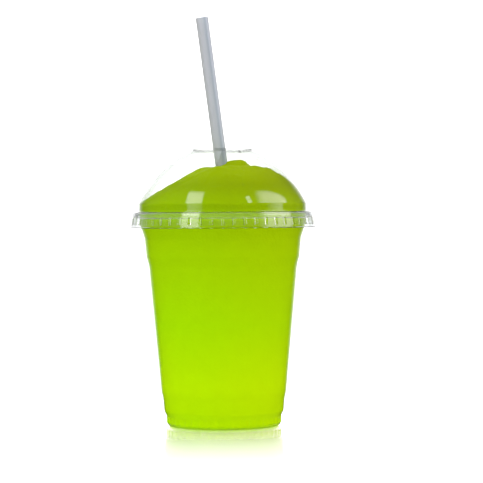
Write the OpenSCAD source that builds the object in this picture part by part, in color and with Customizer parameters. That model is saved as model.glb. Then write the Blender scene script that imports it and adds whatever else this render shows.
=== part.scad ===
// Clear takeaway cup of slush with a domed lid and a straw.
// Millimetres, +Z up, origin on the cup's axis at the level it stands on.

/* [Cup] */
// Outer radius of the rolled rim
rim_r = 49; // [46:0.5:52]
// Height of the cup from the table to the crown of its rim
cup_h = 117.6; // [112:0.2:140]
// Width and height of the rolled rim
rim_roll_d = 3.5; // [3:0.1:4]
// Thickness of the cup's wall
cup_wall = 0.45; // [0.3:0.05:0.6]
// Radius of the foot, over its flutes
foot_r = 31.7; // [30:0.1:34]
// Height of the straight part of the foot
foot_h = 4.9; // [4:0.1:7]
// Step outwards from the valleys of the flutes to the heel
foot_step = 1.65; // [1:0.05:2.5]
// Height of that step
foot_step_h = 3.3; // [2:0.1:5]

/* [Cup wall steps] */
// Height of the stacking ledge above the table
ledge_z = 15.4; // [12:0.2:24]
// Width of the stacking ledge
ledge_w = 0.5; // [0.3:0.05:1.2]
// Height that the stacking ledge takes
ledge_h = 3.6; // [2:0.2:6]
// Drop from the rim's crown to the top of the fill-line step
step_drop = 24.3; // [20:0.1:30]
// Width of the fill-line step
step_w = 0.9; // [0.3:0.05:1.2]
// Height that the fill-line step takes
step_h = 5.3; // [3:0.1:8]
// Drop from the rim's crown to the top of the shoulder
shoulder_drop = 8.4; // [6:0.1:10]
// Width of the shoulder under the rim
shoulder_w = 1.36; // [0.6:0.02:2]
// Height that the shoulder takes
shoulder_h = 5.9; // [4:0.1:8]
// Radius of the bends at the wall's steps
wall_bend_r = 3; // [1:0.5:5]

/* [Foot] */
// Number of flutes round the foot
flute_count = 44; // [24:1:50]
// Depth of the flutes
flute_depth = 0.35; // [0.2:0.05:0.5]
// Radius of each flute's round back
flute_r = 1.5; // [1.2:0.1:1.8]
// Radius of the foot's bottom corner
corner_r = 1.6; // [1.1:0.1:2]
// Width of the flat ring that the cup stands on
ring_w = 1.8; // [1:0.1:3]
// Height of the pushed-up floor over the table
floor_rise = 3.5; // [2:0.1:5]
// Width of the slope from the standing ring up to the floor
floor_slope_w = 2.5; // [2:0.1:5]
// Radius of the bends at both ends of that slope
floor_bend_r = 1; // [0.9:0.1:1.5]

/* [Lid] */
// Thickness of the lid
lid_wall = 0.35; // [0.25:0.05:0.5]
// Height of the skirt, from the flange's top to its bottom edge
skirt_h = 8.8; // [7:0.1:12]
// How far the skirt flares outwards
skirt_flare = 1.6; // [1:0.1:2.5]
// Width of the turned-out lip at the skirt's bottom edge
lip_w = 0.65; // [0.4:0.05:1.5]
// Distance from the rim's outside in to the upright band under the dome
band_inset = 2.5; // [2:0.1:5]
// Height of the upright band
band_h = 4.5; // [3:0.1:8]
// Height of the dome over its band
dome_h = 29.4; // [24:0.2:36]
// Radius of curvature of the dome's side
dome_curve_r = 59.3; // [50:0.1:90]
// Radius of the bends at the flange, the lip and the foot of the band
lid_bend_r = 0.6; // [0.6:0.1:0.8]
// Radius of the hole in the top of the dome
hole_r = 16.2; // [12:0.1:19]
// Height of the raised collar round the hole
collar_h = 0.8; // [0.4:0.1:2]
// Number of snap lugs round the skirt
lug_count = 52; // [24:1:64]
// Radius of each snap lug's round back
lug_r = 1.4; // [1:0.1:2]
// How far a lug stands in from the skirt's outer face
lug_rise = 0.7; // [0.5:0.05:0.8]
// Length of a snap lug
lug_len = 4.4; // [3:0.1:5]
// Distance from the skirt's bottom edge to a lug
lug_lift = 1.7; // [1:0.1:2]

/* [Straw] */
// Outer diameter of the straw
straw_d = 7; // [5:0.1:12]
// Thickness of the straw's wall
straw_wall = 0.3; // [0.15:0.05:0.5]
// Length of the straw
straw_len = 222.5; // [180:0.5:240]
// Lean of the straw from upright, in degrees
straw_lean = 7.25; // [5:0.25:9]
// Distance from the cup's axis to the straw's foot
straw_foot_x = 17.3; // [14:0.1:20]

/* [Slush] */
// Height of the mound's edge over the rim's crown
mound_edge_h = 5.2; // [3:0.1:7]
// Height of the mound's top over its edge
mound_rise = 20.2; // [10:0.2:21]
// Fullness of the mound's low side, 1 for a straight cone
low_side = 1.5; // [1:0.1:5]
// Fullness of the mound's high side
high_side = 4.3; // [1:0.1:5]

/* [Fits] */
// Gap between the rim's crown and the lid's flange
seat_gap = 0.05; // [0.02:0.01:0.2]
// Gap between the rim and the inside of the lid's skirt
skirt_gap = 0.15; // [0.1:0.01:0.4]
// Gap between the slush and the cup
slush_gap = 0.1; // [0.05:0.05:0.2]
// Gap between the slush and the lid
slush_lid_gap = 0.45; // [0.3:0.05:1]
// Gap between the slush and the straw
straw_gap = 0.1; // [0.05:0.05:0.5]
// Gap between the straw's foot and the cup's floor
straw_foot_gap = 0.05; // [0.02:0.01:0.2]
// Small step at the foot of the slush's mound
mound_step = 0.05; // [0.03:0.01:0.3]

/* [Hidden] */
$fn = 96;
// A cut runs this far past the face that it opens
past = 1;

// Heights along the cup's wall
heel_z = foot_h + foot_step_h;
step_z = cup_h - step_drop - step_h;
shoulder_z = cup_h - shoulder_drop - shoulder_h;
roll_z = cup_h - rim_roll_d / 2;

// Radii of the cup's outside
mouth_r = rim_r - rim_roll_d;
valley_r = foot_r - flute_depth;
heel_r = valley_r + foot_step;
steps_w = ledge_w + step_w + shoulder_w;
// The wall's draft is what the steps leave between the heel and the mouth
draft = (mouth_r + cup_wall - heel_r - steps_w) / (roll_z - heel_z);

function ramp(z, from, height) = min(max((z - from) / height, 0), 1);
function wall_r(z) = heel_r + draft * (z - heel_z)
    + ledge_w * ramp(z, ledge_z, ledge_h)
    + step_w * ramp(z, step_z, step_h)
    + shoulder_w * ramp(z, shoulder_z, shoulder_h);

wall_stations = [
    heel_z, ledge_z, ledge_z + ledge_h, step_z, step_z + step_h,
    shoulder_z, shoulder_z + shoulder_h, roll_z
];

ring_in_r = valley_r - corner_r - ring_w;
bend_steps = 5;
// The flutes run up into the step, to where it is wider than they are
flute_top = foot_h + foot_step_h * min(0.9, (flute_depth + cup_wall / 2) / foot_step);

// Sizes of the lid, which follow the rim that it sits on
flange_z = cup_h + seat_gap + lid_wall;
flange_r = rim_r + skirt_gap + lid_wall;
skirt_z = flange_z - skirt_h;
skirt_r = flange_r + skirt_flare;
band_r = rim_r - band_inset;
band_z = flange_z + band_h;
hole_z = band_z + dome_h;
skirt_lean = atan2(skirt_flare, skirt_h);

// Centre of the arc through the top of the band and the edge of the hole
dome_chord = [hole_r - band_r, hole_z - band_z];
dome_reach = sqrt(pow(dome_curve_r, 2) - pow(norm(dome_chord) / 2, 2));
dome_axis_r = (band_r + hole_r) / 2 - dome_reach * dome_chord[1] / norm(dome_chord);
dome_axis_z = (band_z + hole_z) / 2 + dome_reach * dome_chord[0] / norm(dome_chord);

// Place of the straw, whose square-cut foot stands on its low corner
straw_foot_z = floor_rise + cup_wall + straw_foot_gap + sin(straw_lean) * straw_d / 2;

// The slush fills the cup to its mouth and stands up in the dome
slush_r = mouth_r - slush_gap;
mound_r = min(slush_r, band_r - lid_wall - slush_lid_gap) - mound_step;
mound_z = cup_h + mound_edge_h;
mound_rings = 14;
mound_sides = 64;
// Soft lumps on the mound: place across, place in depth, height and width
lumps = [
    [8.5, -1, 3, 6],
    [-13, -1, 1.9, 6.5],
    [20, -14, 1.1, 6],
    [-4, -22, 1.2, 7],
    [-24, -13, 0.9, 6],
    [-26, 12, -0.8, 5],
    [8, 20, 1.2, 7],
    [32, 0, -1, 6],
    [6, -33, -0.9, 5],
    [-14, 29, 0.8, 6]
];

function unit(v) = v / norm(v);
function left_of(v) = [-v[1], v[0]];

// Points of the bend of radius r that rounds the corner b between a and c
function bend(a, b, c, r) =
    let (
        u = unit(a - b),
        v = unit(c - b),
        half = acos(u * v) / 2,
        start = b + u * r / tan(half),
        end = b + v * r / tan(half),
        centre = b + unit(u + v) * r / sin(half)
    )
    [
        for (i = [0:bend_steps])
            let (s = i / bend_steps)
            centre + r * unit((start - centre) * (1 - s) + (end - centre) * s)
    ];

// A line of [radius, height, bend] corners as points, each inner corner rounded by its bend
function rounded(line) = [
    for (i = [0:len(line) - 1])
        let (b = [line[i][0], line[i][1]])
        if (i == 0 || i == len(line) - 1)
            b
        else
            let (
                a = [line[i - 1][0], line[i - 1][1]],
                c = [line[i + 1][0], line[i + 1][1]]
            )
            each bend(a, b, c, line[i][2])
];

// The points of a path moved d to its left, with mitred corners
function beside(path, d) = [
    for (i = [0:len(path) - 1])
        let (
            last = len(path) - 1,
            n1 = left_of(unit(path[max(i, 1)] - path[max(i, 1) - 1])),
            n2 = left_of(unit(path[min(i, last - 1) + 1] - path[min(i, last - 1)]))
        )
        path[i] + d * (n1 + n2) / (1 + n1 * n2)
];

// A sheet of thickness t whose outer face is the path and whose body lies to its left
module sheet_section(path, t) {
    inner = beside(path, t);
    polygon(concat(path, [for (i = [len(inner) - 1:-1:0]) inner[i]]));
}

// Outer face of the cup's half section, from the middle of its floor out and up to its rim
cup_path = rounded(concat(
    [
        [0, floor_rise],
        [ring_in_r - floor_slope_w, floor_rise, floor_bend_r],
        [ring_in_r, 0, floor_bend_r],
        [valley_r, 0, corner_r],
        [valley_r, foot_h, wall_bend_r / 2]
    ],
    [for (z = wall_stations) [wall_r(z), z, wall_bend_r]]
));

// The solid inside the cup's outer face, set in by t and closed at the height top_z
module plain_form(t, top_z) {
    side = beside(cup_path, t);
    mouth = side[len(side) - 1];
    top = max(top_z, mouth[1]);
    rotate_extrude()
        polygon(concat(side, [[mouth[0], top], [0, top]]));
}

// Outline of the foot: a disc with a round back for each flute, set in by t
module foot_outline(t) {
    circle(r = valley_r - t);
    for (i = [0:flute_count - 1])
        rotate(i * 360 / flute_count)
            translate([foot_r - flute_r, 0])
                circle(r = flute_r - t, $fn = 32);
}

// The same solid with the foot's flutes
module fluted_form(t, top_z) {
    plain_form(t, top_z);
    translate([0, 0, corner_r + t])
        linear_extrude(flute_top - corner_r - t)
            foot_outline(t);
}

// The wall's edge, rolled outwards and open towards the wall
module rim_roll() {
    rotate_extrude()
        translate([rim_r - rim_roll_d / 2, roll_z])
            difference() {
                circle(d = rim_roll_d, $fn = 32);
                circle(d = rim_roll_d - 2 * cup_wall, $fn = 32);
                polygon([[0, 0], [-rim_roll_d, 0], [-rim_roll_d, -rim_roll_d * tan(60)]]);
            }
}

module cup() {
    color([0.9, 0.96, 0.88, 0.35]) {
        difference() {
            fluted_form(0, roll_z);
            fluted_form(cup_wall, roll_z + past);
        }
        rim_roll();
    }
}

// Outer face of the lid's lip, skirt, flange and band, from the lip up
lid_path = rounded([
    [skirt_r + lip_w, skirt_z + lid_wall],
    [skirt_r, skirt_z + lid_wall, lid_bend_r / 2],
    [flange_r, flange_z, lid_bend_r],
    [band_r, flange_z, lid_bend_r],
    [band_r, band_z]
]);

// Half section of the lid: lip, skirt, flange and band, then the dome and its collar
module lid_section() {
    sheet_section(lid_path, lid_wall);
    intersection() {
        translate([dome_axis_r, dome_axis_z])
            difference() {
                circle(r = dome_curve_r, $fn = 180);
                circle(r = dome_curve_r - lid_wall, $fn = 180);
            }
        translate([hole_r, band_z])
            square([band_r, dome_h + past]);
    }
    translate([hole_r, hole_z - lid_wall])
        square([lid_wall, lid_wall + collar_h]);
}

// One round-backed rod along the skirt's slope, for a lug or for the dent behind it
module lug_rod(r, len) {
    translate([skirt_r, 0, skirt_z])
        rotate([0, -skirt_lean, 0])
            translate([lug_r - lug_rise, 0, lug_lift + (lug_len - len) / 2])
                cylinder(r = r, h = len, $fn = 48);
}

module lug_ring(r, len) {
    for (i = [0:lug_count - 1])
        rotate([0, 0, i * 360 / lug_count])
            lug_rod(r, len);
}

// The space inside the skirt's outer face
module skirt_space() {
    rotate_extrude()
        polygon([[0, skirt_z], [skirt_r, skirt_z], [flange_r, flange_z], [0, flange_z]]);
}

module dome_lid() {
    color([0.92, 0.95, 0.94, 0.3])
        difference() {
            union() {
                rotate_extrude()
                    lid_section();
                intersection() {
                    lug_ring(lug_r, lug_len);
                    skirt_space();
                }
            }
            lug_ring(lug_r - lid_wall, lug_len - 2 * lid_wall);
        }
}

// The straw's own length stands along Z before it is leaned over
module along_straw() {
    translate([straw_foot_x, 0, straw_foot_z])
        rotate([0, -straw_lean, 0])
            children();
}

module straw() {
    color([0.72, 0.74, 0.77, 0.7])
        along_straw()
            difference() {
                cylinder(d = straw_d, h = straw_len);
                translate([0, 0, -past])
                    cylinder(d = straw_d - 2 * straw_wall, h = straw_len + 2 * past);
            }
}

// Height of the inside of the dome at radius r, or of its hole's edge inside that
function dome_inside_z(r) = dome_axis_z
    + sqrt(pow(dome_curve_r - lid_wall, 2) - pow(max(r, hole_r) - dome_axis_r, 2));

function lump(l, x, y) = l[2] * exp(-(pow(x - l[0], 2) + pow(y - l[1], 2)) / pow(l[3], 2));
function lumps_h(x, y, i = 0) = i == len(lumps) ? 0 : lump(lumps[i], x, y) + lumps_h(x, y, i + 1);

// The mound is steep and full on its high side and slopes like a cone on the other
function mound_top(r, a) =
    let (
        fullness = low_side + (high_side - low_side) * (1 + cos(a)) / 2,
        edge = 1 - pow(r / mound_r, 4),
        free = mound_z + mound_rise * (1 - pow(r / mound_r, fullness))
            + edge * lumps_h(r * cos(a), r * sin(a)),
        roof = dome_inside_z(r) - slush_lid_gap * 2
    )
    min(free, roof);

module mound() {
    ring_points = [
        for (j = [1:mound_rings], i = [0:mound_sides - 1])
            let (r = mound_r * j / mound_rings, a = 360 * i / mound_sides)
            [r * cos(a), r * sin(a), mound_top(r, a)]
    ];
    foot_points = [
        for (i = [0:mound_sides - 1])
            let (a = 360 * i / mound_sides)
            [mound_r * cos(a), mound_r * sin(a), roll_z]
    ];
    top = mound_rings * mound_sides + mound_sides;
    points = concat(ring_points, foot_points, [[0, 0, mound_top(0, 0)]]);
    cap = [
        for (i = [0:mound_sides - 1])
            [top, (i + 1) % mound_sides, i]
    ];
    rows = [
        for (j = [0:mound_rings - 1], i = [0:mound_sides - 1])
            let (a = j * mound_sides, b = a + mound_sides, k = (i + 1) % mound_sides)
            each [[a + i, a + k, b + i], [a + k, b + k, b + i]]
    ];
    under = [[for (i = [0:mound_sides - 1]) mound_rings * mound_sides + i]];
    polyhedron(points, concat(cap, rows, under));
}

module slush() {
    color([0.62, 0.78, 0.02])
        difference() {
            union() {
                plain_form(cup_wall + slush_gap, roll_z);
                mound();
            }
            along_straw()
                translate([0, 0, -straw_d])
                    cylinder(d = straw_d + 2 * straw_gap, h = straw_len);
        }
}

cup();
dome_lid();
slush();
straw();
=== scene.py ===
"""Clear takeaway cup of lime slush under a domed lid, with a straw: finishes, slush, light and camera."""

import math

import bmesh
import bpy
from mathutils import Euler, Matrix, Quaternion, Vector, noise
from mathutils.bvhtree import BVHTree


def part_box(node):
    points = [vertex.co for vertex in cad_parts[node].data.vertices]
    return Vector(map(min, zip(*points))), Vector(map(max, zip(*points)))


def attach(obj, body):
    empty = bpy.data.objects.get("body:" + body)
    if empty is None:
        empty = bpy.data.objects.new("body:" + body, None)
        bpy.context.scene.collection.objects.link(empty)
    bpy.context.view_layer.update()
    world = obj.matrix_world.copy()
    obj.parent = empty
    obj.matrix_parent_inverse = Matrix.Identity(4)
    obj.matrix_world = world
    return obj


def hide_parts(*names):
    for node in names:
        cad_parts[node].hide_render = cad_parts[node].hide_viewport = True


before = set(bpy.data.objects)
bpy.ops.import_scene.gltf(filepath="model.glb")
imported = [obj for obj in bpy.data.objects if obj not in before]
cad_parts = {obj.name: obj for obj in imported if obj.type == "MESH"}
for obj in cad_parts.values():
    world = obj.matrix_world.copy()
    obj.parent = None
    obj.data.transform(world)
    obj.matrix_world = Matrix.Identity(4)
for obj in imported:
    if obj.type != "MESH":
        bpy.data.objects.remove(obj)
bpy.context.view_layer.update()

MM = 0.001

# Places that model.glb gives
CUP_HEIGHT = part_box("cup")[1].z
LID_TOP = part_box("dome_lid")[1].z

# The straw's own sizes, which its box at a lean doesn't give by itself
STRAW_WIDTH = 7 * MM
STRAW_LEAN = math.radians(7.25)
STRAW_FOOT_X = 17.3 * MM
STRAW_FOOT_Z = 4.44 * MM
# How much wider than the straw its hole in the slush is, each side
STRAW_CLEARANCE = 0.1 * MM
# How far the lid's raised collar, which the punch leaves hazy, reaches down from its top
COLLAR = 2.2 * MM

# The slush's mound: where its edge lies, how far it rises from there, and how full each side is
MOUND_EDGE = CUP_HEIGHT + 5.2 * MM
MOUND_RISE = 20.2 * MM
MOUND_RADIUS = 45.9 * MM
FULLNESS_LOW_SIDE = 1.5
FULLNESS_HIGH_SIDE = 4.3
# How far the drink reaches into the cup's wall, so that no air lies between them
WETTING = 0.15 * MM
# Air between the slush and the lid
LID_AIR = 0.25 * MM
# Where the slush's skin starts and ends against the wall, and where the straw's hole in it ends
WALL_TOP = MOUND_EDGE - 0.6 * MM
WALL_FOOT = 1.2 * MM
HOLE_BOTTOM = STRAW_FOOT_Z - 0.6 * MM
# A height inside the cup that is well above its floor
ABOVE_FLOOR = 12 * MM
# The slush's mesh: points round each ring, rings over the mound, and the step between rings down the wall
SIDES = 360
MOUND_RINGS = 60
WALL_STEP = 1 * MM
# Radii of its rings on the cup's floor, in millimetres, which follow the foot's rounded corner
FLOOR_RINGS = (30.2, 29, 28, 27.2, 26.4, 25.6, 24.8, 24)
# Soft lumps and dips on the mound: place across, place in depth, height and width, in millimetres
LUMPS = (
    (3.6, -1, 2.5, 3.2),
    (8, -2, 2.3, 3.2),
    (12.2, -1, 2.6, 3),
    (9, 3, 1.6, 4),
    (18, -1, -0.7, 3),
    (25, -2, 0.8, 3.5),
    (-13, -1, 1.9, 6.5),
    (20, -14, 1.1, 6),
    (-4, -22, 1.2, 7),
    (-24, -13, 0.9, 6),
    (-26, 12, -0.8, 5),
    (8, 20, 1.2, 7),
    (32, 0, -1, 6),
    (6, -33, -0.9, 5),
    (-14, 29, 0.8, 6),
)

# Brightness of the studio, where 1 is white: the lit backdrop, the light on the object, and the dark front
BACKDROP = 2
ROOM_LIGHT = 1.25
STUDIO_FRONT = 0.01
# What each further mirror image inside an edge of the plastic adds to the dark front
EDGE_GLOW = 0.5
# The least that the rim mirrors under the lid's skirt
RIM_GLOW = 0.3
# What is added to the floor where it is seen, in the open and through the plastic of the foot
FLOOR_GLOW = 0.3
FLOOR_GLOW_THROUGH_PLASTIC = 1
# The green light that the drink throws on the floor round the foot
FOOT_GLOW = 0.34
# How far the softboxes' planes stand from the dome, in metres
SOFTBOX_DISTANCE = 0.7
# The photograph: its width in pixels, and what one pixel spans at the cup
PIXELS_ACROSS = 483
PIXEL = 0.553 * MM


def hex_colour(text):
    """Linear RGBA from an sRGB hex value such as #B0D020."""
    channels = [int(text[i : i + 2], 16) / 255 for i in (1, 3, 5)]
    return [c / 12.92 if c <= 0.04045 else ((c + 0.055) / 1.055) ** 2.4 for c in channels] + [1]


def per_size(millimetres):
    """Texture scale at which one feature of the pattern is that wide."""
    return 1 / (millimetres * MM)


def add_node(tree, kind, settings=None, inputs=None, stops=()):
    """Adds a shader node with its settings, and gives each named input a value or a link.

    A colour ramp also gets its stops, as places and sRGB hex colours, the first of them at 0.
    """
    made = tree.nodes.new(kind)
    for name, value in (settings or {}).items():
        setattr(made, name, value)
    if stops:
        made.color_ramp.elements.remove(made.color_ramp.elements[1])
    for place, colour in stops:
        stop = made.color_ramp.elements[0] if place == 0 else made.color_ramp.elements.new(place)
        stop.color = hex_colour(colour)
    for name, value in (inputs or {}).items():
        if isinstance(value, bpy.types.NodeSocket):
            tree.links.new(value, made.inputs[name])
        else:
            made.inputs[name].default_value = value
    return made


def new_material(name):
    """An empty node material and its tree."""
    material = bpy.data.materials.new(name)
    material.use_nodes = True
    material.node_tree.nodes.clear()
    return material, material.node_tree


def finish_material(tree, shader):
    """Sends a shader to the material's surface."""
    add_node(tree, "ShaderNodeOutputMaterial", inputs={"Surface": shader})


def dress(node_name, material):
    """Gives a CAD node its finish."""
    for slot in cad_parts[node_name].material_slots:
        slot.material = material


# Materials


def thermoformed_pet(name, tint, cut_from=None):
    """Clear PET sheet, heated and drawn into a mould.

    It is as clear and glossy as glass. The drawing leaves long faint ripples up the wall, which bend the
    edges of what it mirrors, over a finer orange peel. Above the height cut_from, where a hole is punched,
    the punch has left it hazy and grey. Lamps, and light that the drink sends back, go straight through it.
    """
    material, tree = new_material(name)
    place = add_node(tree, "ShaderNodeTexCoord").outputs["Object"]
    drawn = add_node(
        tree,
        "ShaderNodeMapping",
        inputs={"Vector": place, "Scale": (per_size(11), per_size(11), per_size(34))},
    )
    ripples = add_node(
        tree,
        "ShaderNodeTexNoise",
        inputs={"Vector": drawn.outputs["Vector"], "Scale": 1, "Detail": 1, "Roughness": 0.4},
    )
    peel = add_node(
        tree,
        "ShaderNodeTexNoise",
        inputs={"Vector": place, "Scale": per_size(1.6), "Detail": 1, "Roughness": 0.5},
    )
    peel_bump = add_node(
        tree,
        "ShaderNodeBump",
        inputs={"Height": peel.outputs["Fac"], "Strength": 1, "Distance": 0.004 * MM},
    )
    ripple_bump = add_node(
        tree,
        "ShaderNodeBump",
        inputs={
            "Height": ripples.outputs["Fac"],
            "Strength": 1,
            "Distance": 0.03 * MM,
            "Normal": peel_bump.outputs["Normal"],
        },
    )
    plastic = add_node(
        tree,
        "ShaderNodeBsdfPrincipled",
        inputs={
            "Base Color": hex_colour(tint),
            "Roughness": 0.03,
            "IOR": 1.575,
            "Transmission Weight": 1,
            "Normal": ripple_bump.outputs["Normal"],
        },
    )
    if cut_from is not None:
        parts = add_node(tree, "ShaderNodeSeparateXYZ", inputs={"Vector": place})
        haze = add_node(
            tree,
            "ShaderNodeMapRange",
            inputs={
                "Value": parts.outputs["Z"],
                "From Min": cut_from,
                "From Max": cut_from + 1 * MM,
            },
        )
        colour = add_node(
            tree,
            "ShaderNodeMix",
            settings={"data_type": "RGBA"},
            inputs={
                "Factor": haze.outputs["Result"],
                "A": hex_colour(tint),
                "B": hex_colour("#DCDEDC"),
            },
        )
        tree.links.new(colour.outputs["Result"], plastic.inputs["Base Color"])
    path = add_node(tree, "ShaderNodeLightPath")
    scattered = add_node(
        tree,
        "ShaderNodeMath",
        settings={"operation": "GREATER_THAN"},
        inputs={0: path.outputs["Diffuse Depth"], 1: 0.5},
    )
    lets_through = add_node(
        tree,
        "ShaderNodeMath",
        settings={"operation": "MAXIMUM"},
        inputs={0: path.outputs["Is Shadow Ray"], 1: scattered.outputs["Value"]},
    )
    clear = add_node(tree, "ShaderNodeBsdfTransparent", inputs={"Color": hex_colour("#F9FBF8")})
    sheet = add_node(
        tree,
        "ShaderNodeMixShader",
        inputs={
            0: lets_through.outputs["Value"],
            1: plastic.outputs["BSDF"],
            2: clear.outputs["BSDF"],
        },
    )
    finish_material(tree, sheet.outputs["Shader"])
    return material


# Greys round the tube, from -X over the front: painted light and shade, a darker streak and a lighter one by
# the way each side faces
STRAW_GREYS_AND_PAINTED_LIGHT = (
    (0, "#D8D7D5"),
    (0.1, "#CBCCCF"),
    (0.29, "#CCD1D7"),
    (0.34, "#B1BBC5"),
    (0.4, "#CAD1DA"),
    (0.47, "#E2E6EA"),
    (0.6, "#C8CDD2"),
    (0.87, "#BAC2CA"),
)


def extruded_polypropylene(name):
    """Milky polypropylene tube, drawn out of a die.

    Light glows dimly through its thin wall. Its grey round the tube is painted light and shade, which die
    streaks shift a little.
    """
    material, tree = new_material(name)
    place = add_node(tree, "ShaderNodeTexCoord").outputs["Object"]
    along = add_node(
        tree,
        "ShaderNodeMapping",
        settings={"vector_type": "TEXTURE"},
        inputs={
            "Vector": place,
            "Location": (STRAW_FOOT_X, 0, STRAW_FOOT_Z),
            "Rotation": Euler((0, -STRAW_LEAN, 0)),
        },
    )
    stretched = add_node(
        tree,
        "ShaderNodeMapping",
        inputs={
            "Vector": along.outputs["Vector"],
            "Scale": (per_size(2.2), per_size(2.2), per_size(160)),
        },
    )
    streaks = add_node(
        tree,
        "ShaderNodeTexNoise",
        inputs={"Vector": stretched.outputs["Vector"], "Scale": 1, "Detail": 2, "Roughness": 0.5},
    )
    round_tube = add_node(
        tree,
        "ShaderNodeTexGradient",
        settings={"gradient_type": "RADIAL"},
        inputs={"Vector": along.outputs["Vector"]},
    )
    wander = add_node(
        tree,
        "ShaderNodeMath",
        settings={"operation": "MULTIPLY_ADD"},
        inputs={0: streaks.outputs["Fac"], 1: 0.04, 2: round_tube.outputs["Fac"]},
    )
    # Painted light and shade: the grey goes by which way round the tube each side faces
    painted_light_greys = add_node(
        tree,
        "ShaderNodeValToRGB",
        inputs={"Fac": wander.outputs["Value"]},
        stops=STRAW_GREYS_AND_PAINTED_LIGHT,
    )
    lines = add_node(
        tree,
        "ShaderNodeBump",
        inputs={"Height": streaks.outputs["Fac"], "Strength": 1, "Distance": 0.04 * MM},
    )
    plastic = add_node(
        tree,
        "ShaderNodeBsdfPrincipled",
        inputs={
            "Base Color": painted_light_greys.outputs["Color"],
            "Roughness": 0.3,
            "IOR": 1.49,
            "Transmission Weight": 0.35,
            "Normal": lines.outputs["Normal"],
        },
    )
    finish_material(tree, plastic.outputs["BSDF"])
    return material


# Lime syrup's colour up to this height, with painted light and shade in it: painted light towards the bottom
# and behind the rim, which gathers light, and painted shade in the mound
SYRUP_HEIGHT = 142 * MM
SYRUP_AND_PAINTED_LIGHT = (
    (0, "#B7E000"),
    (0.16, "#BEE600"),
    (0.4, "#ABDB00"),
    (0.68, "#A5CB00"),
    (0.79, "#9FC000"),
    (0.803, "#B0D400"),
    (0.828, "#ACD000"),
    (0.845, "#9BBB00"),
    (0.93, "#8DA400"),
    (0.98, "#99B000"),
)
# What the syrup's colour is multiplied by at -X and at +X: painted light across the cup, as if lit more from
# one side, a little warmer at +X
PAINTED_LIGHT_AT_MINUS_X = "#F9FFFF"
PAINTED_LIGHT_AT_PLUS_X = "#FFF7FF"


def ice_slush(name):
    """Crushed ice in lime syrup, frozen while it is stirred.

    Light goes a few millimetres into it and comes back green, and the grains of ice, about a millimetre
    across, roughen its wet skin.
    """
    material, tree = new_material(name)
    place = add_node(tree, "ShaderNodeTexCoord").outputs["Object"]
    parts = add_node(tree, "ShaderNodeSeparateXYZ", inputs={"Vector": place})
    height = add_node(
        tree,
        "ShaderNodeMapRange",
        inputs={"Value": parts.outputs["Z"], "From Min": 0, "From Max": SYRUP_HEIGHT},
    )
    # Painted light and shade by height: lighter low down and behind the rim, darker in the mound
    syrup = add_node(
        tree,
        "ShaderNodeValToRGB",
        inputs={"Fac": height.outputs["Result"]},
        stops=SYRUP_AND_PAINTED_LIGHT,
    )
    # Painted light across: the colour shifts from -X to +X as if the slush were lit more from one side
    across = add_node(
        tree,
        "ShaderNodeMapRange",
        settings={"interpolation_type": "SMOOTHSTEP"},
        inputs={"Value": parts.outputs["X"], "From Min": -30 * MM, "From Max": 40 * MM},
    )
    painted_side_light = add_node(
        tree,
        "ShaderNodeMix",
        settings={"data_type": "RGBA"},
        inputs={
            "Factor": across.outputs["Result"],
            "A": hex_colour(PAINTED_LIGHT_AT_MINUS_X),
            "B": hex_colour(PAINTED_LIGHT_AT_PLUS_X),
        },
    )
    lit_side = add_node(
        tree,
        "ShaderNodeVectorMath",
        settings={"operation": "MULTIPLY"},
        inputs={0: syrup.outputs["Color"], 1: painted_side_light.outputs["Result"]},
    )
    grains = add_node(
        tree,
        "ShaderNodeTexVoronoi",
        settings={"feature": "SMOOTH_F1"},
        inputs={"Vector": place, "Scale": per_size(1.3), "Smoothness": 1},
    )
    clumps = add_node(
        tree,
        "ShaderNodeTexNoise",
        inputs={"Vector": place, "Scale": per_size(7), "Detail": 3, "Roughness": 0.6},
    )
    mottle = add_node(
        tree,
        "ShaderNodeMapRange",
        inputs={
            "Value": clumps.outputs["Fac"],
            "From Min": 0.3,
            "From Max": 0.7,
            "To Min": 0.985,
            "To Max": 1.01,
        },
    )
    colour = add_node(
        tree,
        "ShaderNodeVectorMath",
        settings={"operation": "SCALE"},
        inputs={0: lit_side.outputs["Vector"], "Scale": mottle.outputs["Result"]},
    )
    grain_bump = add_node(
        tree,
        "ShaderNodeBump",
        inputs={"Height": grains.outputs["Distance"], "Strength": 0.5, "Distance": -0.25 * MM},
    )
    slush = add_node(
        tree,
        "ShaderNodeBsdfPrincipled",
        inputs={
            "Base Color": colour.outputs["Vector"],
            "Roughness": 0.4,
            "IOR": 1.34,
            "Specular IOR Level": 0.01,
            "Subsurface Weight": 0.4,
            "Subsurface Radius": (1, 0.9, 0.4),
            "Subsurface Scale": 3 * MM,
            "Normal": grain_bump.outputs["Normal"],
        },
    )
    finish_material(tree, slush.outputs["BSDF"])
    return material


# Slush


def surface_of(node_name):
    """A CAD node's surface, for finding how far away it lies."""
    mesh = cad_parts[node_name].data
    mesh.calc_loop_triangles()
    corners = [vertex.co for vertex in mesh.vertices]
    return BVHTree.FromPolygons(corners, [tuple(t.vertices) for t in mesh.loop_triangles])


def straw_x(z):
    """Where the straw's axis lies across the cup at a height."""
    return STRAW_FOOT_X - math.tan(STRAW_LEAN) * (z - STRAW_FOOT_Z)


def lumps_height(x, y):
    """Height that the soft lumps add to the mound."""
    total = 0
    for across, depth, height, width in LUMPS:
        away = ((x / MM - across) ** 2 + (y / MM - depth) ** 2) / width**2
        total += height * MM * math.exp(-away)
    return total


def crushed(point):
    """Rise and fall of the crushed ice at a point of the mound."""
    coarse = noise.noise(point * per_size(5))
    fine = noise.noise(point * per_size(1.9))
    return (0.55 * coarse + 0.3 * fine) * MM


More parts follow.
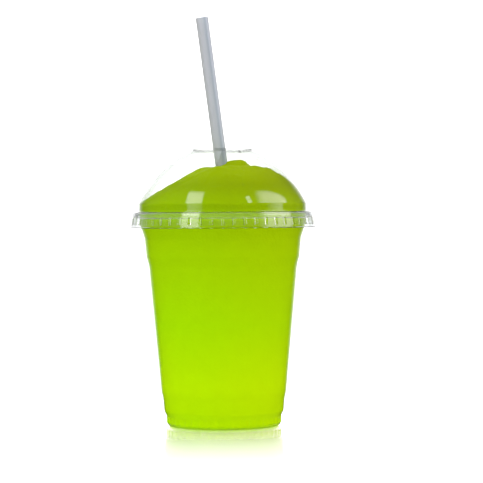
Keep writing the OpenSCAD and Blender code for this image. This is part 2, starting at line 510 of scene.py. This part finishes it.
def mound_height(x, y, dome):
    """Height of the mound's surface, held under the inside of the dome."""
    radius = math.hypot(x, y)
    angle = math.atan2(y, x)
    out = min(radius / MOUND_RADIUS, 1)
    fullness = FULLNESS_LOW_SIDE + (FULLNESS_HIGH_SIDE - FULLNESS_LOW_SIDE) * (1 + math.cos(angle)) / 2
    edge = 1 - out**4
    free = MOUND_EDGE + MOUND_RISE * (1 - out**fullness) + edge * lumps_height(x, y)
    free += edge * crushed(Vector((x, y, free)))
    roof = dome.ray_cast(Vector((x, y, MOUND_EDGE)), Vector((0, 0, 1)))[0]
    if roof is None:
        return free
    return min(free, roof.z - 2 * LID_AIR)


def slush_rings():
    """The slush's surface as rings.

    They start at the bottom of the straw's hole and run out over the mound, down the wall and in at the foot.
    """
    cup = surface_of("cup")
    dome = surface_of("dome_lid")
    turns = [math.radians(a * 360 / SIDES) for a in range(SIDES)]
    ways = [Vector((math.cos(a), math.sin(a), 0)) for a in turns]
    hole_radius = STRAW_WIDTH / 2 + STRAW_CLEARANCE
    rings = []

    foot_centre = Vector((straw_x(STRAW_FOOT_Z), 0, HOLE_BOTTOM))
    rings.append([foot_centre + way * hole_radius for way in ways])

    for step in range(MOUND_RINGS + 1):
        out = step / MOUND_RINGS
        ring = []
        for way in ways:
            radius = hole_radius + (MOUND_RADIUS - hole_radius) * out
            z = MOUND_EDGE + MOUND_RISE
            for _ in range(2):
                x = straw_x(z) * (1 - out) ** 2 + way.x * radius
                y = way.y * radius
                z = mound_height(x, y, dome)
            ring.append(Vector((x, y, z)))
        rings.append(ring)

    def against_wall(height, way):
        """The point of the wall's inside at a height, which the drink wets."""
        start = Vector((0, 0, height))
        on_cup = cup.ray_cast(start, way)[0]
        on_lid = dome.ray_cast(start, way)[0]
        radius = MOUND_RADIUS + 0.1 * MM
        if on_cup is not None:
            radius = min(radius, math.hypot(on_cup.x, on_cup.y) + WETTING)
        if on_lid is not None:
            radius = min(radius, math.hypot(on_lid.x, on_lid.y) - LID_AIR / 2)
        return start + way * radius

    height = WALL_TOP
    while height > WALL_FOOT:
        rings.append([against_wall(height, way) for way in ways])
        height -= WALL_STEP

    def on_floor(radius, way):
        """The point of the cup's floor at a radius, which the drink wets."""
        start = way * radius + Vector((0, 0, ABOVE_FLOOR))
        hit = cup.ray_cast(start, Vector((0, 0, -1)))[0]
        return hit - Vector((0, 0, WETTING))

    for radius in FLOOR_RINGS:
        rings.append([on_floor(radius * MM, way) for way in ways])
    return rings


def make_slush():
    """The slush as one closed skin, with the straw's hole through it."""
    mesh = bmesh.new()
    rings = [[mesh.verts.new(point) for point in ring] for ring in slush_rings()]
    neighbours = [(i, (i + 1) % SIDES) for i in range(SIDES)]
    for upper, lower in zip(rings, rings[1:]):
        for i, k in neighbours:
            mesh.faces.new((upper[i], lower[i], lower[k], upper[k]))
    loops = [mesh.edges.get((ring[i], ring[k])) for ring in (rings[0], rings[-1]) for i, k in neighbours]
    bmesh.ops.triangle_fill(mesh, edges=loops, use_beauty=True)
    bmesh.ops.recalc_face_normals(mesh, faces=mesh.faces)
    data = bpy.data.meshes.new("slush_fill")
    data.materials.append(ice_slush("ice_slush"))
    for face in mesh.faces:
        face.smooth = True
    mesh.to_mesh(data)
    mesh.free()
    piece = bpy.data.objects.new("slush_fill", data)
    bpy.context.scene.collection.objects.link(piece)
    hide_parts("slush")
    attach(piece, "cup")


# Studio


def only_mirrored(tree):
    """1 for a ray that the plastic mirrors.

    It is 0 for one that is scattered, or that the floor mirrors, which crosses the floor's film twice.
    """
    path = add_node(tree, "ShaderNodeLightPath")
    mirrored = add_node(
        tree,
        "ShaderNodeMath",
        settings={"operation": "GREATER_THAN"},
        inputs={0: path.outputs["Glossy Depth"], 1: 0.5},
    )
    other_depths = add_node(
        tree,
        "ShaderNodeMath",
        settings={"operation": "MULTIPLY_ADD"},
        inputs={0: path.outputs["Diffuse Depth"], 1: 2, 2: path.outputs["Transparent Depth"]},
    )
    unscattered = add_node(
        tree,
        "ShaderNodeMath",
        settings={"operation": "LESS_THAN"},
        inputs={0: other_depths.outputs["Value"], 1: 1.5},
    )
    both = add_node(
        tree,
        "ShaderNodeMath",
        settings={"operation": "MULTIPLY"},
        inputs={0: mirrored.outputs["Value"], 1: unscattered.outputs["Value"]},
    )
    return both.outputs["Value"]


def mirrored_room(tree, way):
    """How bright the room is in the plastic's mirror images, by the way that the ray goes.

    The front is all but black in one mirror image and lighter after several. It brightens towards the
    backdrop, which the plastic mirrors only at a glance, so that the edges of cup and lid are soft and white.
    What lies behind several walls, such as the rim under the skirt, mirrors no less than a dim grey.
    """
    path = add_node(tree, "ShaderNodeLightPath")
    front = add_node(
        tree,
        "ShaderNodeMath",
        settings={"operation": "MULTIPLY_ADD"},
        inputs={0: path.outputs["Glossy Depth"], 1: EDGE_GLOW, 2: STUDIO_FRONT - EDGE_GLOW},
    )
    parts = add_node(tree, "ShaderNodeSeparateXYZ", inputs={"Vector": way})
    towards_back = add_node(
        tree,
        "ShaderNodeMapRange",
        inputs={"Value": parts.outputs["Y"], "From Min": 0.7, "From Max": 1},
    )
    glance = add_node(
        tree,
        "ShaderNodeMath",
        settings={"operation": "POWER"},
        inputs={0: towards_back.outputs["Result"], 1: 3},
    )
    room = add_node(
        tree,
        "ShaderNodeMix",
        inputs={"Factor": glance.outputs["Value"], "A": front.outputs["Value"], "B": BACKDROP},
    )
    behind_walls = add_node(
        tree,
        "ShaderNodeMapRange",
        inputs={
            "Value": path.outputs["Transmission Depth"],
            "From Min": 2.5,
            "From Max": 3.5,
            "To Min": 0,
            "To Max": RIM_GLOW,
        },
    )
    lighter = add_node(
        tree,
        "ShaderNodeMath",
        settings={"operation": "MAXIMUM"},
        inputs={0: room.outputs["Result"], 1: behind_walls.outputs["Result"]},
    )
    return lighter.outputs["Value"]


def white_acrylic():
    """White acrylic sheet, cast and polished.

    Near the cup it mirrors the foot, more so at a low angle, and the mirror image fades outwards. Light that
    comes out of the drink turns it green under the foot. What the clear plastic mirrors of the rest of it is
    dark, as the front of a studio is.
    """
    material, tree = new_material("white_acrylic")
    place = add_node(tree, "ShaderNodeTexCoord").outputs["Object"]
    away = add_node(tree, "ShaderNodeVectorMath", settings={"operation": "LENGTH"}, inputs={0: place})
    polish = add_node(
        tree,
        "ShaderNodeMapRange",
        inputs={
            "Value": away.outputs["Value"],
            "From Min": 35 * MM,
            "From Max": 205 * MM,
            "To Min": 1.7,
            "To Max": 0,
        },
    )
    low_angle = add_node(tree, "ShaderNodeFresnel", inputs={"IOR": 1.5})
    shine = add_node(
        tree,
        "ShaderNodeMath",
        settings={"operation": "MULTIPLY", "use_clamp": True},
        inputs={0: polish.outputs["Result"], 1: low_angle.outputs["Fac"]},
    )
    path = add_node(tree, "ShaderNodeLightPath")
    in_view = add_node(
        tree,
        "ShaderNodeMath",
        settings={"operation": "MAXIMUM"},
        inputs={0: path.outputs["Is Camera Ray"], 1: path.outputs["Is Glossy Ray"]},
    )
    in_open = add_node(
        tree,
        "ShaderNodeMath",
        settings={"operation": "MULTIPLY"},
        inputs={0: in_view.outputs["Value"], 1: FLOOR_GLOW},
    )
    through_plastic = add_node(
        tree,
        "ShaderNodeMath",
        settings={"operation": "MULTIPLY"},
        inputs={0: path.outputs["Is Transmission Ray"], 1: FLOOR_GLOW_THROUGH_PLASTIC},
    )
    glow = add_node(
        tree,
        "ShaderNodeMath",
        settings={"operation": "MAXIMUM"},
        inputs={0: in_open.outputs["Value"], 1: through_plastic.outputs["Value"]},
    )
    sheet = add_node(
        tree,
        "ShaderNodeBsdfPrincipled",
        inputs={
            "Base Color": hex_colour("#E8E8E8"),
            "Roughness": 0.6,
            "IOR": 1.5,
            "Specular IOR Level": 0,
            "Emission Color": hex_colour("#FFFFFF"),
            "Emission Strength": glow.outputs["Value"],
        },
    )
    mirror = add_node(
        tree,
        "ShaderNodeBsdfGlossy",
        inputs={"Color": hex_colour("#FFF0FF"), "Roughness": 0.06},
    )
    polished = add_node(
        tree,
        "ShaderNodeMixShader",
        inputs={0: shine.outputs["Value"], 1: sheet.outputs["BSDF"], 2: mirror.outputs["BSDF"]},
    )
    way = add_node(tree, "ShaderNodeVectorMath", settings={"operation": "NORMALIZE"}, inputs={0: place})
    dark = add_node(
        tree,
        "ShaderNodeEmission",
        inputs={
            "Color": hex_colour("#FFFFFF"),
            "Strength": mirrored_room(tree, way.outputs["Vector"]),
        },
    )
    seen = add_node(
        tree,
        "ShaderNodeMixShader",
        inputs={
            0: only_mirrored(tree),
            1: polished.outputs["Shader"],
            2: dark.outputs["Emission"],
        },
    )
    by_foot = add_node(
        tree,
        "ShaderNodeMapRange",
        inputs={
            "Value": away.outputs["Value"],
            "From Min": 31 * MM,
            "From Max": 42 * MM,
            "To Min": FOOT_GLOW,
            "To Max": 0,
        },
    )
    green = add_node(
        tree,
        "ShaderNodeEmission",
        inputs={"Color": hex_colour("#C4EC50"), "Strength": by_foot.outputs["Result"]},
    )
    lit = add_node(
        tree,
        "ShaderNodeAddShader",
        inputs={0: seen.outputs["Shader"], 1: green.outputs["Emission"]},
    )
    finish_material(tree, lit.outputs["Shader"])
    return material


def clear_film():
    """The protective film on new acrylic, too thin and clear to see."""
    material, tree = new_material("clear_film")
    film = add_node(tree, "ShaderNodeBsdfTransparent", inputs={"Color": hex_colour("#FFFFFF")})
    finish_material(tree, film.outputs["BSDF"])
    return material


def make_sheet(name, height, material):
    """A level sheet under the cup, far wider than the view."""
    mesh = bmesh.new()
    bmesh.ops.create_grid(mesh, x_segments=1, y_segments=1, size=3)
    data = bpy.data.meshes.new(name)
    data.materials.append(material)
    mesh.to_mesh(data)
    mesh.free()
    sheet = bpy.data.objects.new(name, data)
    sheet.location.z = height
    bpy.context.scene.collection.objects.link(sheet)


def make_world():
    """A white room with a bright backdrop, which is dark only in what the clear plastic mirrors of it.

    Through many walls of plastic the backdrop dims, which draws their edges.
    """
    world = bpy.data.worlds.new("studio")
    world.use_nodes = True
    tree = world.node_tree
    tree.nodes.clear()
    way = add_node(tree, "ShaderNodeTexCoord").outputs["Generated"]
    path = add_node(tree, "ShaderNodeLightPath")
    scattered = add_node(
        tree,
        "ShaderNodeMath",
        settings={"operation": "GREATER_THAN"},
        inputs={0: path.outputs["Diffuse Depth"], 1: 0.5},
    )
    through_walls = add_node(
        tree,
        "ShaderNodeMapRange",
        inputs={
            "Value": path.outputs["Transmission Depth"],
            "From Min": 4,
            "From Max": 8,
            "To Min": BACKDROP,
            "To Max": 0.8,
        },
    )
    looked_at = add_node(
        tree,
        "ShaderNodeMix",
        inputs={
            "Factor": only_mirrored(tree),
            "A": through_walls.outputs["Result"],
            "B": mirrored_room(tree, way),
        },
    )
    strength = add_node(
        tree,
        "ShaderNodeMix",
        inputs={
            "Factor": scattered.outputs["Value"],
            "A": looked_at.outputs["Result"],
            "B": ROOM_LIGHT,
        },
    )
    room = add_node(
        tree,
        "ShaderNodeBackground",
        inputs={"Color": hex_colour("#FFFFFF"), "Strength": strength.outputs["Result"]},
    )
    add_node(tree, "ShaderNodeOutputWorld", inputs={"Surface": room.outputs["Background"]})
    bpy.context.scene.world = world


def make_softbox(name, azimuth, elevation, roll, across, up, brightness, dim_below=(-1, 0), near_fade=0.12):
    """A flat softbox in a plane that faces the dome. Its azimuth runs from the front towards +X, in degrees.

    across and up are where its sides, and its bottom and top, lie in that plane, in metres. Its height goes
    from dark to full between the two shares in dim_below, and its width does so up to the share near_fade.
    """
    turn = math.radians(azimuth)
    rise = math.radians(elevation)
    way = Vector((math.sin(turn) * math.cos(rise), -math.cos(turn) * math.cos(rise), math.sin(rise)))
    lamp = bpy.data.lights.new(name, "AREA")
    lamp.shape = "RECTANGLE"
    lamp.size = across[1] - across[0]
    lamp.size_y = up[1] - up[0]
    lamp.energy = brightness * math.pi * lamp.size * lamp.size_y
    lamp.color = hex_colour("#FFEFFF")[:3]
    lamp.use_nodes = True
    tree = lamp.node_tree
    tree.nodes.clear()
    place = add_node(tree, "ShaderNodeNewGeometry").outputs["Parametric"]
    parts = add_node(tree, "ShaderNodeSeparateXYZ", inputs={"Vector": place})
    cloth = add_node(
        tree,
        "ShaderNodeMapRange",
        inputs={"Value": parts.outputs["Y"], "From Min": dim_below[0], "From Max": dim_below[1]},
    )
    strength = cloth.outputs["Result"]
    # Its light also softens to both sides and to the top: the axis, where it would be dark, where it is full
    for side, dark, full in (("X", -0.04, near_fade), ("X", 1.04, 0.88), ("Y", 1.04, 0.9)):
        hood = add_node(
            tree,
            "ShaderNodeMapRange",
            settings={"interpolation_type": "SMOOTHSTEP"},
            inputs={"Value": parts.outputs[side], "From Min": dark, "From Max": full},
        )
        strength = add_node(
            tree,
            "ShaderNodeMath",
            settings={"operation": "MULTIPLY"},
            inputs={0: strength, 1: hood.outputs["Result"]},
        ).outputs["Value"]
    glow = add_node(tree, "ShaderNodeEmission", inputs={"Strength": strength})
    add_node(tree, "ShaderNodeOutputLight", inputs={"Surface": glow.outputs["Emission"]})
    holder = bpy.data.objects.new(name, lamp)
    facing = way.to_track_quat("Z", "Y") @ Quaternion((0, 0, 1), math.radians(roll))
    holder.rotation_euler = facing.to_euler()
    on_dome = Vector((math.copysign(20 * MM, azimuth), -38 * MM, CUP_HEIGHT + 7 * MM))
    from_dome = way * SOFTBOX_DISTANCE + facing @ Vector((sum(across) / 2, sum(up) / 2, 0))
    holder.location = on_dome + from_dome
    holder.visible_camera = False
    holder.visible_diffuse = False
    bpy.context.scene.collection.objects.link(holder)


def make_camera():
    """The photograph's view: level with the rim, 1.14 m away, with the cup a little left of the middle."""
    distance = 1142 * MM
    eye = Vector((0, -distance, 118 * MM))
    middle = Vector((10.3 * MM, 0, 101.4 * MM))
    roll = math.radians(0.39)
    camera = bpy.data.cameras.new("camera")
    camera.lens = camera.sensor_width * distance / (PIXELS_ACROSS * PIXEL)
    camera.clip_start = 0.01
    holder = bpy.data.objects.new("camera", camera)
    holder.location = eye
    holder.rotation_euler = (middle - eye).to_track_quat("-Z", "Y").to_euler()
    holder.rotation_euler.rotate_axis("Z", -roll)
    bpy.context.scene.collection.objects.link(holder)
    bpy.context.scene.camera = holder


make_camera()
make_world()
make_sheet("floor_film", -0.05 * MM, clear_film())
make_sheet("floor", -0.15 * MM, white_acrylic())
make_softbox(
    "softbox_left",
    azimuth=-42.5,
    elevation=20,
    roll=12,
    across=(-0.145, 0.16),
    up=(-0.36, 0.61),
    brightness=2.7,
    dim_below=(0.02, 0.3),
)
make_softbox(
    "softbox_right",
    azimuth=77.5,
    elevation=22.5,
    roll=-28,
    across=(-0.32, 0.3),
    up=(-0.36, 0.385),
    brightness=2,
    dim_below=(0, 0.3),
    near_fade=0.3,
)
make_softbox(
    "spot",
    azimuth=47.5,
    elevation=51,
    roll=0,
    across=(-0.035, 0.035),
    up=(-0.045, 0.045),
    brightness=2.5,
)
dress("cup", thermoformed_pet("clear_pet_cup", "#FDFFFB"))
dress("dome_lid", thermoformed_pet("clear_pet_lid", "#FDFFFF", cut_from=LID_TOP - COLLAR))
dress("straw", extruded_polypropylene("milky_polypropylene"))
make_slush()

bpy.context.scene.view_settings.view_transform = "Standard"
